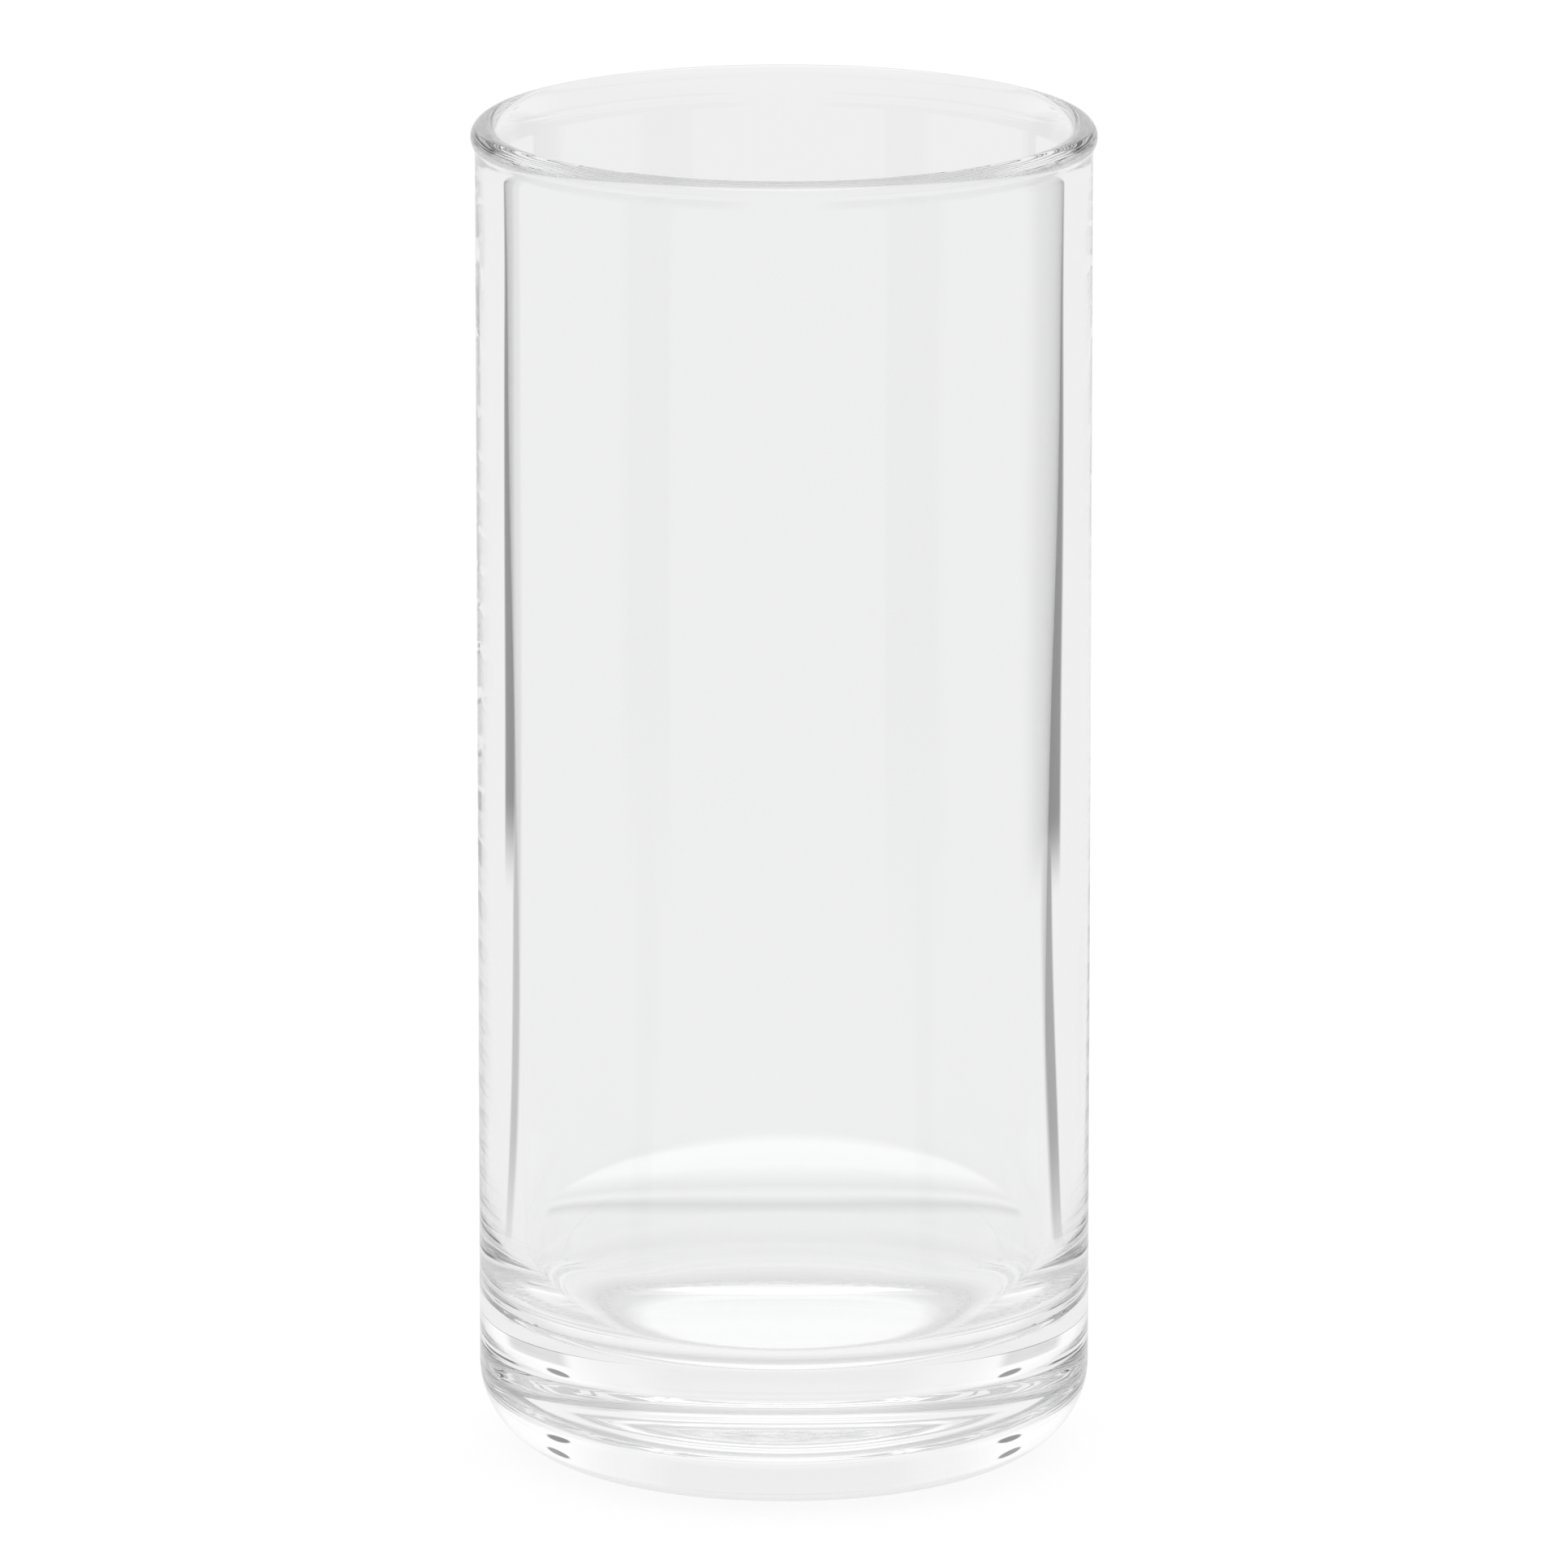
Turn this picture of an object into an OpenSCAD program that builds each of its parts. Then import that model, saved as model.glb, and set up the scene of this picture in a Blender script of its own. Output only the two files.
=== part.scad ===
// Straight-sided juice glass, pressed in one piece from clear glass.
// Millimetres. Z is the axis of the glass, and the foot stands on Z = 0.

/* [Body] */
// Height from the foot to the top of the lip
glass_height = 137; // [110:0.5:170]
// Diameter of the straight outer wall
body_diameter = 62; // [54:0.5:76]
// Thickness of the wall where the mouth begins to open out
top_wall = 2.9; // [2.2:0.1:4]
// Thickness of the wall where it begins to turn in to the floor
bottom_wall = 4.4; // [3:0.1:6]

/* [Lip] */
// How far the lip stands out from the outer wall
lip_proud = 0.45; // [0.2:0.05:0.8]
// Radius of the hollow where the outer wall runs out to the lip
lip_fillet = 3; // [2:0.25:6]
// How far the mouth opens out from the line of the inner wall
mouth_opening = 0.55; // [0.2:0.05:0.9]
// Radius of the curve by which the mouth opens out
mouth_round = 8; // [5:0.5:14]

/* [Base] */
// Thickness of the base, from the foot to the floor inside
base_thickness = 13.8; // [10:0.1:20]
// Height above the floor at which the inner wall begins to turn in
corner_rise = 10.5; // [8:0.5:13]
// Radius of the wide sweep that turns the inner wall in
sweep_round = 18; // [15:0.5:22]
// Radius of the tighter round that runs on from the sweep to the floor
corner_round = 6; // [4:0.5:7.5]
// Radius of the heel, between the outer wall and the foot
heel_round = 9; // [6:0.5:12]
// Width of the flat ring that the glass stands on
foot_width = 1.2; // [0.8:0.1:4]
// Height of the hollow inside that ring
punt_depth = 0.7; // [0.4:0.1:2]

/* [Hidden] */
$fn = 180;

// Rounds that touch overlap by a hair, so that each one runs into the next
round_overlap = 0.01;

function along(from, to) = (to - from) / norm(to - from);

body_radius = body_diameter / 2;

// The lip is a full round, as fire polishing leaves it
lip_radius = (top_wall + lip_proud - mouth_opening) / 2;
lip_centre = [body_radius + lip_proud - lip_radius, glass_height - lip_radius];

// Outside, a hollow leads from the wall to the lip
fillet_reach = lip_radius + lip_fillet;
fillet_drop = sqrt(pow(fillet_reach, 2) - pow(fillet_reach - lip_proud, 2));
fillet_centre = [body_radius + lip_fillet, lip_centre.y - fillet_drop + round_overlap];
fillet_on_lip = lip_centre + lip_radius * along(lip_centre, fillet_centre);

// Inside, the mouth curve leads from the wall to the lip
mouth_reach = mouth_round - lip_radius;
mouth_drop = sqrt(pow(mouth_reach, 2) - pow(mouth_reach - mouth_opening, 2));
mouth_centre = [body_radius - top_wall + mouth_round, lip_centre.y - mouth_drop - round_overlap];
mouth_on_wall = [body_radius - top_wall, mouth_centre.y];
mouth_on_lip = mouth_centre + mouth_round * along(mouth_centre, lip_centre);

// Between the mouth and the sweep the inner wall leans out, so that the plunger can be drawn
sweep_centre = [body_radius - bottom_wall - sweep_round, base_thickness + corner_rise];
sweep_on_wall = [body_radius - bottom_wall, sweep_centre.y];

// The sweep ends where the corner round, which touches the floor, can run on from it
corner_turn = asin((corner_rise - corner_round) / (sweep_round - corner_round));
sweep_end = sweep_centre + sweep_round * [cos(corner_turn), -sin(corner_turn)];
corner_centre = [
    sweep_end.x - corner_round * cos(corner_turn) + round_overlap,
    base_thickness + corner_round
];

// The foot is a flat ring, and the hollow inside it is part of a sphere
heel_centre = [body_radius - heel_round, heel_round];
foot_inner_radius = heel_centre.x - foot_width;
punt_radius = (pow(foot_inner_radius, 2) + pow(punt_depth, 2)) / (2 * punt_depth);
punt_centre = [0, punt_depth - punt_radius];

module round_at(centre, radius) translate(centre) circle(radius);

// Half of the glass cut along its axis: straight chords, with each round added or cut away
module half_section() {
    difference() {
        union() {
            polygon([
                [0, 0],
                [heel_centre.x, 0],
                [body_radius, heel_centre.y],
                [body_radius, fillet_centre.y],
                fillet_on_lip,
                lip_centre,
                mouth_on_lip,
                mouth_on_wall,
                sweep_on_wall,
                sweep_end,
                [corner_centre.x, base_thickness],
                [0, base_thickness]
            ]);
            round_at(lip_centre, lip_radius);
            intersection() {
                round_at(heel_centre, heel_round);
                translate([heel_centre.x, 0]) square(heel_round);
            }
            intersection() {
                round_at(mouth_centre, mouth_round);
                polygon([mouth_on_wall, [mouth_on_wall.x, mouth_on_lip.y], mouth_on_lip]);
            }
        }
        round_at(fillet_centre, lip_fillet);
        intersection() {
            round_at(sweep_centre, sweep_round);
            polygon([sweep_on_wall, [sweep_on_wall.x, sweep_end.y], sweep_end]);
        }
        round_at(corner_centre, corner_round);
        round_at(punt_centre, punt_radius);
    }
}

module tumbler() {
    color([0.93, 0.95, 0.95, 0.4])
        rotate_extrude() half_section();
}

tumbler();
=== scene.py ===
import math

import bpy
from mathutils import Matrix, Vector
from mathutils import noise


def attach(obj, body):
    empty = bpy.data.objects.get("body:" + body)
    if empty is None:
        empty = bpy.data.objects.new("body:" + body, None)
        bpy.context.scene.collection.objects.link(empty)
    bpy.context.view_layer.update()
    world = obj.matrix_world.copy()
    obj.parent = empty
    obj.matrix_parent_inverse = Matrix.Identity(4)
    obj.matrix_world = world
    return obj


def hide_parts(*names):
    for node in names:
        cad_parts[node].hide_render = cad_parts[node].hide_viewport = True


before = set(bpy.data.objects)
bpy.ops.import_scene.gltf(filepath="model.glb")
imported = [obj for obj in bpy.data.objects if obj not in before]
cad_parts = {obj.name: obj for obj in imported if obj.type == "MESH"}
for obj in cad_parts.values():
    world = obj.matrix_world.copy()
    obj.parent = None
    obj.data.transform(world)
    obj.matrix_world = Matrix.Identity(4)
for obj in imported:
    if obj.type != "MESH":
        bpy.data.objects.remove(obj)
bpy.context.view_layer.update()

scene = bpy.context.scene

# The tumbler
# One piece of clear soda-lime glass, pressed over a plunger that leaves a heavy base. The outside is
# straight, the inside leans out to the mouth, and the lip is fire polished into a full round.

MM = 0.001
glass_height = 137.0
body_radius = 31.0
top_wall = 2.9
bottom_wall = 4.4
lip_proud = 0.45
lip_fillet = 3.0
mouth_opening = 0.55
mouth_round = 8.0
base_thickness = 13.8
corner_rise = 10.5
sweep_round = 18.0
corner_round = 6.0
heel_round = 9.0
foot_width = 1.2
punt_depth = 0.7


def bend(centre, radius, start, end, steps):
    """Points of a round, from one angle to another."""
    angles = [start + (end - start) * step / steps for step in range(steps + 1)]
    return [(centre[0] + radius * math.cos(a), centre[1] + radius * math.sin(a)) for a in angles]


def wall(start, end, steps):
    """Points of a straight wall."""
    shares = [step / steps for step in range(steps + 1)]
    return [(start[0] + (end[0] - start[0]) * s, start[1] + (end[1] - start[1]) * s) for s in shares]


quarter = math.pi / 2
lip_radius = (top_wall + lip_proud - mouth_opening) / 2
lip_centre = (body_radius + lip_proud - lip_radius, glass_height - lip_radius)

fillet_reach = lip_radius + lip_fillet
fillet_drop = math.sqrt(fillet_reach ** 2 - (fillet_reach - lip_proud) ** 2)
fillet_centre = (body_radius + lip_fillet, lip_centre[1] - fillet_drop)
fillet_angle = math.atan2(fillet_centre[1] - lip_centre[1], fillet_centre[0] - lip_centre[0])

mouth_reach = mouth_round - lip_radius
mouth_drop = math.sqrt(mouth_reach ** 2 - (mouth_reach - mouth_opening) ** 2)
mouth_centre = (body_radius - top_wall + mouth_round, lip_centre[1] - mouth_drop)
mouth_angle = math.atan2(lip_centre[1] - mouth_centre[1], lip_centre[0] - mouth_centre[0])

corner_height = base_thickness + corner_rise
corner_turn = math.asin((corner_rise - corner_round) / (sweep_round - corner_round))
sweep_centre = (body_radius - bottom_wall - sweep_round, corner_height)
corner_centre = (
    sweep_centre[0] + (sweep_round - corner_round) * math.cos(corner_turn),
    sweep_centre[1] - (sweep_round - corner_round) * math.sin(corner_turn),
)

heel_centre = (body_radius - heel_round, heel_round)
foot_inner = heel_centre[0] - foot_width
punt_round = (foot_inner ** 2 + punt_depth ** 2) / (2 * punt_depth)
punt_centre = (0.0, punt_depth - punt_round)
punt_half = math.asin(foot_inner / punt_round)

# The half section runs from the middle of the punt round the outside, over the lip and down the inside
inside_top = (body_radius - top_wall, mouth_centre[1])
inside_bottom = (body_radius - bottom_wall, corner_height)
runs = [
    ("punt", bend(punt_centre, punt_round, quarter, quarter - punt_half, 14)),
    ("foot", wall((foot_inner, 0.0), (heel_centre[0], 0.0), 2)),
    ("heel", bend(heel_centre, heel_round, -quarter, 0.0, 26)),
    ("outside", wall((body_radius, heel_round), (body_radius, fillet_centre[1]), 14)),
    ("lip", bend(fillet_centre, lip_fillet, math.pi, math.pi + fillet_angle, 12)),
    ("lip", bend(lip_centre, lip_radius, fillet_angle, mouth_angle, 50)),
    ("lip", bend(mouth_centre, mouth_round, mouth_angle, math.pi, 16)),
    ("inside", wall(inside_top, inside_bottom, 40)),
    ("corner", bend(sweep_centre, sweep_round, 0.0, -corner_turn, 10)),
    ("corner", bend(corner_centre, corner_round, -corner_turn, -quarter, 20)),
    ("floor", wall((corner_centre[0], base_thickness), (0.0, base_thickness), 6)),
]

# The plunger leaves the inside a little uneven, and the wobble dies out towards the mouth and the base
turns = 400
wobble_depth = 0.11
wobble_round = 1.6
wobble_length = 38.0
wobble_fade = 6.0


def inside_wobble(angle, height):
    """How far the inside stands out from its true line, in millimetres."""
    share = (height - corner_height) / (mouth_centre[1] - corner_height)
    fade = min(1.0, wobble_fade * share, wobble_fade * (1 - share))
    across = (wobble_round * math.cos(angle), wobble_round * math.sin(angle))
    return wobble_depth * fade * noise.noise((*across, height / wobble_length))


points = []
rings = []
for region, path in runs:
    for radius, height in path[(1 if rings else 0):]:
        if radius < 1e-6:
            rings.append([len(points)])
            points.append((0.0, 0.0, height * MM))
            continue
        rings.append([len(points) + turn for turn in range(turns)])
        for turn in range(turns):
            angle = 2 * math.pi * turn / turns
            out = radius
            if region == "inside":
                out += inside_wobble(angle, height)
            points.append((out * MM * math.cos(angle), out * MM * math.sin(angle), height * MM))

faces = []
for low, high in zip(rings, rings[1:]):
    for turn in range(turns):
        after = (turn + 1) % turns
        if len(low) == 1:
            faces.append((low[0], high[after], high[turn]))
        elif len(high) == 1:
            faces.append((low[turn], low[after], high[0]))
        else:
            faces.append((low[turn], low[after], high[after], high[turn]))

tumbler_mesh = bpy.data.meshes.new("tumbler_glass")
tumbler_mesh.from_pydata(points, [], faces)
tumbler_mesh.polygons.foreach_set("use_smooth", [True] * len(faces))
tumbler_mesh.update()
tumbler = bpy.data.objects.new("tumbler_glass", tumbler_mesh)
scene.collection.objects.link(tumbler)


def put(tree, kind, inputs, **settings):
    """A new node, with each input set to a value or joined to another node's output."""
    node = tree.nodes.new("ShaderNode" + kind)
    for name, value in settings.items():
        setattr(node, name, value)
    for socket, value in inputs.items():
        if isinstance(value, bpy.types.NodeSocket):
            tree.links.new(value, node.inputs[socket])
        else:
            node.inputs[socket].default_value = value
    return node


def reckon(tree, operation, *values):
    """The result of one sum on numbers and outputs."""
    return put(tree, "Math", dict(enumerate(values)), operation=operation).outputs["Value"]


def soft_step(tree, value, start, end, low=0.0, high=1.0):
    """A soft change from low to high while the value goes from start to end."""
    inputs = {"Value": value, "From Min": start, "From Max": end, "To Min": low, "To Max": high}
    return put(tree, "MapRange", inputs, interpolation_type="SMOOTHSTEP").outputs["Result"]


clear_glass = bpy.data.materials.new("clear_glass")
clear_glass.use_nodes = True
glass_tree = clear_glass.node_tree
glass = glass_tree.nodes["Principled BSDF"]
glass.inputs["Base Color"].default_value = (0.99, 0.992, 0.992, 1)
glass.inputs["IOR"].default_value = 1.52
glass.inputs["Transmission Weight"].default_value = 1.0
glass_place = put(glass_tree, "TexCoord", {}).outputs["Object"]
glass_up = put(glass_tree, "SeparateXYZ", {"Vector": glass_place}).outputs["Z"]

# A long way through the glass dims the light
glass_depth = put(glass_tree, "VolumeAbsorption", {"Color": (0.497, 0.505, 0.503, 1), "Density": 0.3})
glass_tree.links.new(glass_depth.outputs["Volume"], glass_tree.nodes["Material Output"].inputs["Volume"])

# The ring that the glass stands on is scuffed by tables, and the rest is polished
scuff_roughness = 0.6
foot_near = soft_step(glass_tree, glass_up, 0.12 * MM, 0.02 * MM)
foot_scuffs = put(glass_tree, "TexNoise", {"Vector": glass_place, "Scale": 900.0, "Detail": 1.0})
foot_worn = reckon(glass_tree, "MULTIPLY", foot_near, foot_scuffs.outputs["Fac"])
foot_rough = reckon(glass_tree, "MULTIPLY", foot_worn, scuff_roughness)
glass_tree.links.new(foot_rough, glass.inputs["Roughness"])

# The cold mould leaves faint upright waves in the skin of the glass
wave_stretch = (1, 1, 0.12)
wave_depth = 0.02 * MM
skin_place = put(glass_tree, "Mapping", {"Vector": glass_place, "Scale": wave_stretch}).outputs["Vector"]
skin_waves = put(glass_tree, "TexNoise", {"Vector": skin_place, "Scale": 160.0, "Detail": 0.0})
skin_inputs = {"Height": skin_waves.outputs["Fac"], "Strength": 1.0, "Distance": wave_depth}
skin_relief = put(glass_tree, "Bump", skin_inputs)
glass_tree.links.new(skin_relief.outputs["Normal"], glass.inputs["Normal"])
tumbler_mesh.materials.append(clear_glass)

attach(tumbler, "root")
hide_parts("tumbler")

# The floor
# A wide sheet of white card that the glass stands on. Faint rings of light and shade round its foot and a
# patch of light behind it are painted into the card's light, in place of the light the glass throws, and a
# share of the card is plain, which takes the soft shadow.

card_radius = 3.0
card_gap = 0.05 * MM
bpy.ops.mesh.primitive_circle_add(vertices=160, radius=card_radius, fill_type="NGON")
floor = bpy.context.object
floor.location.z = -card_gap
floor.name = "card_floor"
white_card = bpy.data.materials.new("white_card")
white_card.use_nodes = True
card_tree = white_card.node_tree
card_tree.nodes.clear()
card_path = put(card_tree, "LightPath", {}).outputs
card_place = put(card_tree, "TexCoord", {}).outputs["Object"]
card_parts = put(card_tree, "SeparateXYZ", {"Vector": card_place}).outputs
card_reach = put(card_tree, "VectorMath", {0: card_place}, operation="LENGTH").outputs["Value"]


def light_levels(tree, value, stops):
    """A run of light levels, one at each stop, for a value from 0 to 1."""
    ramp = put(tree, "ValToRGB", {"Fac": value})
    elements = ramp.color_ramp.elements
    while len(elements) < len(stops):
        elements.new(0.5)
    for element, (place, level) in zip(elements, stops):
        element.position = place
        element.color = (level, level, level, 1)
    return ramp.outputs["Color"]


def between(tree, share, first, second):
    """A number that goes from the first to the second as the share goes from 0 to 1."""
    return put(tree, "Mix", {"Factor": share, "A": first, "B": second}).outputs["Result"]


# Painted rings of light and shade round the foot, from the axis out to a tenth of a metre
ring_at = put(card_tree, "MapRange", {"Value": card_reach, "From Max": 0.1}).outputs["Result"]
front_levels = ((0.15, 1.13), (0.18, 0.82), (0.22, 0.82), (0.27, 1.0), (0.6, 1.0), (1.0, 0.87))
behind_levels = ((0.15, 1.13), (0.18, 0.82), (0.24, 0.8), (0.3, 0.92), (0.4, 0.8), (0.5, 0.87))
painted_card_rings = between(
    card_tree,
    soft_step(card_tree, card_parts["Y"], -0.005, 0.005),
    light_levels(card_tree, ring_at, front_levels),
    light_levels(card_tree, ring_at, behind_levels),
)

# The painted oval patch of light behind the glass, with painted darker bands in it, from its straight near
# edge to its far edge
patch_near = 0.057
patch_far = 0.117
patch_centre = (0, 0.065, 0)
patch_half = (0.043, 0.051, 1)
patch_levels = ((0.0, 0.88), (0.11, 0.68), (0.2, 0.92), (0.29, 0.82), (0.55, 1.0), (1.0, 1.02))
patch_depth = {"Value": card_parts["Y"], "From Min": patch_near, "From Max": patch_far}
patch_at = put(card_tree, "MapRange", patch_depth).outputs["Result"]
patch_oval = {"Vector": card_place, "Location": patch_centre, "Scale": patch_half}
patch_place = put(card_tree, "Mapping", patch_oval, vector_type="TEXTURE").outputs["Vector"]
patch_reach = put(card_tree, "VectorMath", {0: patch_place}, operation="LENGTH").outputs["Value"]
patch_inside = soft_step(card_tree, patch_reach, 1.05, 0.95)
patch_behind = reckon(card_tree, "GREATER_THAN", card_parts["Y"], patch_near)
# The painted patch of light is laid over the painted rings
painted_card_light = between(
    card_tree,
    reckon(card_tree, "MULTIPLY", patch_inside, patch_behind),
    painted_card_rings,
    light_levels(card_tree, patch_at, patch_levels),
)

# Painted shade on the card past its two sides, in place of a dark room there, which draws dark lines in the
# glass. Bearings are degrees from straight behind, and reaches are metres from the axis. The walls see it
# in light that passes the skin twice and is turned back once.
card_bearing = reckon(card_tree, "ARCTAN2", card_parts["X"], card_parts["Y"])
turned_once = reckon(card_tree, "COMPARE", card_path["Glossy Depth"], 1, 0.5)
passed_twice = reckon(card_tree, "COMPARE", card_path["Transmission Depth"], 2, 0.5)
by_walls = reckon(card_tree, "MULTIPLY", turned_once, passed_twice)
painted_dark_sides = (
    (by_walls, 43, 45.5, 62, 75, 0.225, 0.265, 1.0),
    (by_walls, 50, 52, 57, 61, 0.06, 0.14, 0.8),
    (by_walls, -43, -45, -50, -55, 0.225, 0.265, 1.0),
    (by_walls, -50, -52, -55, -58, 0.06, 0.14, 0.55),
    (by_walls, 112, 120, 138.5, 141, 0.2, 0.35, 0.8),
    (by_walls, 119, 123, 128, 130, 0.06, 0.14, 0.5),
    (by_walls, -112, -120, -134.5, -137, 0.2, 0.35, 0.8),
    (by_walls, -119, -123, -128, -130, 0.06, 0.14, 0.5),
    (1.0, 18, 42, 150, 170, 0.72, 0.85, 0.85),
    (1.0, -18, -42, -150, -170, 0.72, 0.85, 0.85),
)
painted_card_shade = 0.0
for way, begin, full, fade, stop, near, far, depth in painted_dark_sides:
    side_begin = soft_step(card_tree, card_bearing, math.radians(begin), math.radians(full))
    side_end = soft_step(card_tree, card_bearing, math.radians(stop), math.radians(fade))
    side_reach = soft_step(card_tree, card_reach, near, far, high=depth)
    side_across = reckon(card_tree, "MULTIPLY", side_begin, side_end)
    side_share = reckon(card_tree, "MULTIPLY", side_across, way)
    # The painted shade of each side, laid onto the card
    painted_side_shade = reckon(card_tree, "MULTIPLY", side_share, side_reach)
    painted_card_shade = reckon(card_tree, "MAXIMUM", painted_card_shade, painted_side_shade)

# The camera sees the card white, and the glass sees its painted light and its painted dark sides
camera_white = 1.05
plain_share = 0.15
card_seen = reckon(card_tree, "MULTIPLY", card_path["Is Camera Ray"], camera_white)
card_level = reckon(card_tree, "MAXIMUM", between(card_tree, painted_card_shade, painted_card_light, 0.0), card_seen)
card_light = put(card_tree, "Emission", {"Strength": card_level}).outputs["Emission"]
card_plain = put(card_tree, "BsdfDiffuse", {"Color": (0.9, 0.9, 0.9, 1)}).outputs["BSDF"]
card_both = put(card_tree, "MixShader", {0: plain_share, 1: card_light, 2: card_plain}).outputs["Shader"]
put(card_tree, "OutputMaterial", {"Surface": card_both})
floor.data.materials.append(white_card)

# The studio
# A white room with soft light from all round, brightest overhead, and a shade dimmer low behind the glass
# and at its two sides. The camera sees it white, and the glass sees it a shade lower.

room = bpy.data.worlds.new("white_room")
scene.world = room
room.use_nodes = True
room_tree = room.node_tree
room_tree.nodes.clear()
room_path = put(room_tree, "LightPath", {}).outputs
room_way = put(room_tree, "TexCoord", {}).outputs["Generated"]
room_parts = put(room_tree, "SeparateXYZ", {"Vector": room_way}).outputs
room_bearing = reckon(room_tree, "ABSOLUTE", reckon(room_tree, "ARCTAN2", room_parts["X"], room_parts["Y"]))


def rise(degrees):
    """How high a direction that rises by an angle reaches, as the room's Z gives it."""
    return math.sin(math.radians(degrees))


# The light overhead, and the changes low at either side. Bearings are degrees from straight behind, and
# each change begins below one height and is full below the next, in degrees too.
wall_level = 0.92
overhead_level = 1.3
room_level = soft_step(room_tree, room_parts["Z"], rise(52), rise(72), wall_level, overhead_level)
turned_twice = reckon(room_tree, "COMPARE", room_path["Glossy Depth"], 2.5, 0.6)
room_sides = (
    (1.0, -2, -1, 14, 24, 32, 18, -0.06),
    (1.0, 24, 40, 60, 72, 32, 18, 0.12),
    (1.0, 68, 84, 130, 170, 32, 18, -0.12),
    (1.0, 33, 37, 52, 58, 8, 6, -0.3),
    (turned_twice, 82, 88, 112, 118, 20, 14, -0.7),
)
for way, begin, full, fade, stop, high, low, change in room_sides:
    side_begin = soft_step(room_tree, room_bearing, math.radians(begin), math.radians(full))
    side_end = soft_step(room_tree, room_bearing, math.radians(stop), math.radians(fade))
    side_low = soft_step(room_tree, room_parts["Z"], rise(high), rise(low), high=change)
    side_across = reckon(room_tree, "MULTIPLY", side_begin, side_end)
    side_share = reckon(room_tree, "MULTIPLY", side_across, way)
    room_level = reckon(room_tree, "MULTIPLY_ADD", side_share, side_low, room_level)

# Two dark lamp heads stand low behind the glass, to the left and the right
lamp_bearing = math.radians(40)
lamp_height = math.radians(14.5)
lamp_place = Vector((
    math.sin(lamp_bearing) * math.cos(lamp_height),
    math.cos(lamp_bearing) * math.cos(lamp_height),
    math.sin(lamp_height),
))
lamp_across = reckon(room_tree, "ABSOLUTE", room_parts["X"])
lamp_parts = {"X": lamp_across, "Y": room_parts["Y"], "Z": room_parts["Z"]}
lamp_way = put(room_tree, "CombineXYZ", lamp_parts).outputs["Vector"]
lamp_reach = put(room_tree, "VectorMath", {0: lamp_way, 1: lamp_place}, operation="DISTANCE")
lamp_dark = soft_step(room_tree, lamp_reach.outputs["Value"], 0.065, 0.045, high=-0.85)
room_level = reckon(room_tree, "ADD", room_level, lamp_dark)

# Light that the glass has turned 8 to 60 times is weaker where it comes from low down or overhead
turned_levels = ((rise(21), 0.0), (rise(25), 1.0), (rise(40), 1.0), (rise(50), 0.8))
turned_often = reckon(room_tree, "COMPARE", room_path["Glossy Depth"], 34, 26.5)
turned_left = light_levels(room_tree, room_parts["Z"], turned_levels)
room_kept = between(room_tree, turned_often, 1.0, turned_left)
room_level = reckon(room_tree, "MULTIPLY", room_kept, room_level)

room_seen = reckon(room_tree, "MAXIMUM", room_level, room_path["Is Camera Ray"])
room_light = put(room_tree, "Background", {"Color": (1, 1, 1, 1), "Strength": room_seen})
put(room_tree, "OutputWorld", {"Surface": room_light.outputs["Background"]})

# The camera
# A long lens a little above the rim, level with the glass from side to side and aimed at its middle.
# Light may turn many times inside the thick base before it leaves the glass.

photo_width = 1932
photo_scale = 12180
camera_distance = 1.7
camera_rise = math.radians(13.47)
camera_aim = Vector((0, 0, 0.06876))
camera_back = Vector((0, -math.cos(camera_rise), math.sin(camera_rise)))
camera_data = bpy.data.cameras.new("camera")
camera_data.sensor_width = 36
camera_data.lens = photo_scale * camera_distance / photo_width * camera_data.sensor_width
camera_data.clip_end = 100
camera = bpy.data.objects.new("camera", camera_data)
camera.location = camera_aim + camera_back * camera_distance
camera.rotation_mode = "QUATERNION"
camera.rotation_quaternion = (-camera_back).to_track_quat("-Z", "Y")
scene.collection.objects.link(camera)
scene.camera = camera
scene.view_settings.view_transform = "Standard"

light_turns = 128
scene.cycles.max_bounces = light_turns
scene.cycles.glossy_bounces = light_turns
scene.cycles.transmission_bounces = light_turns
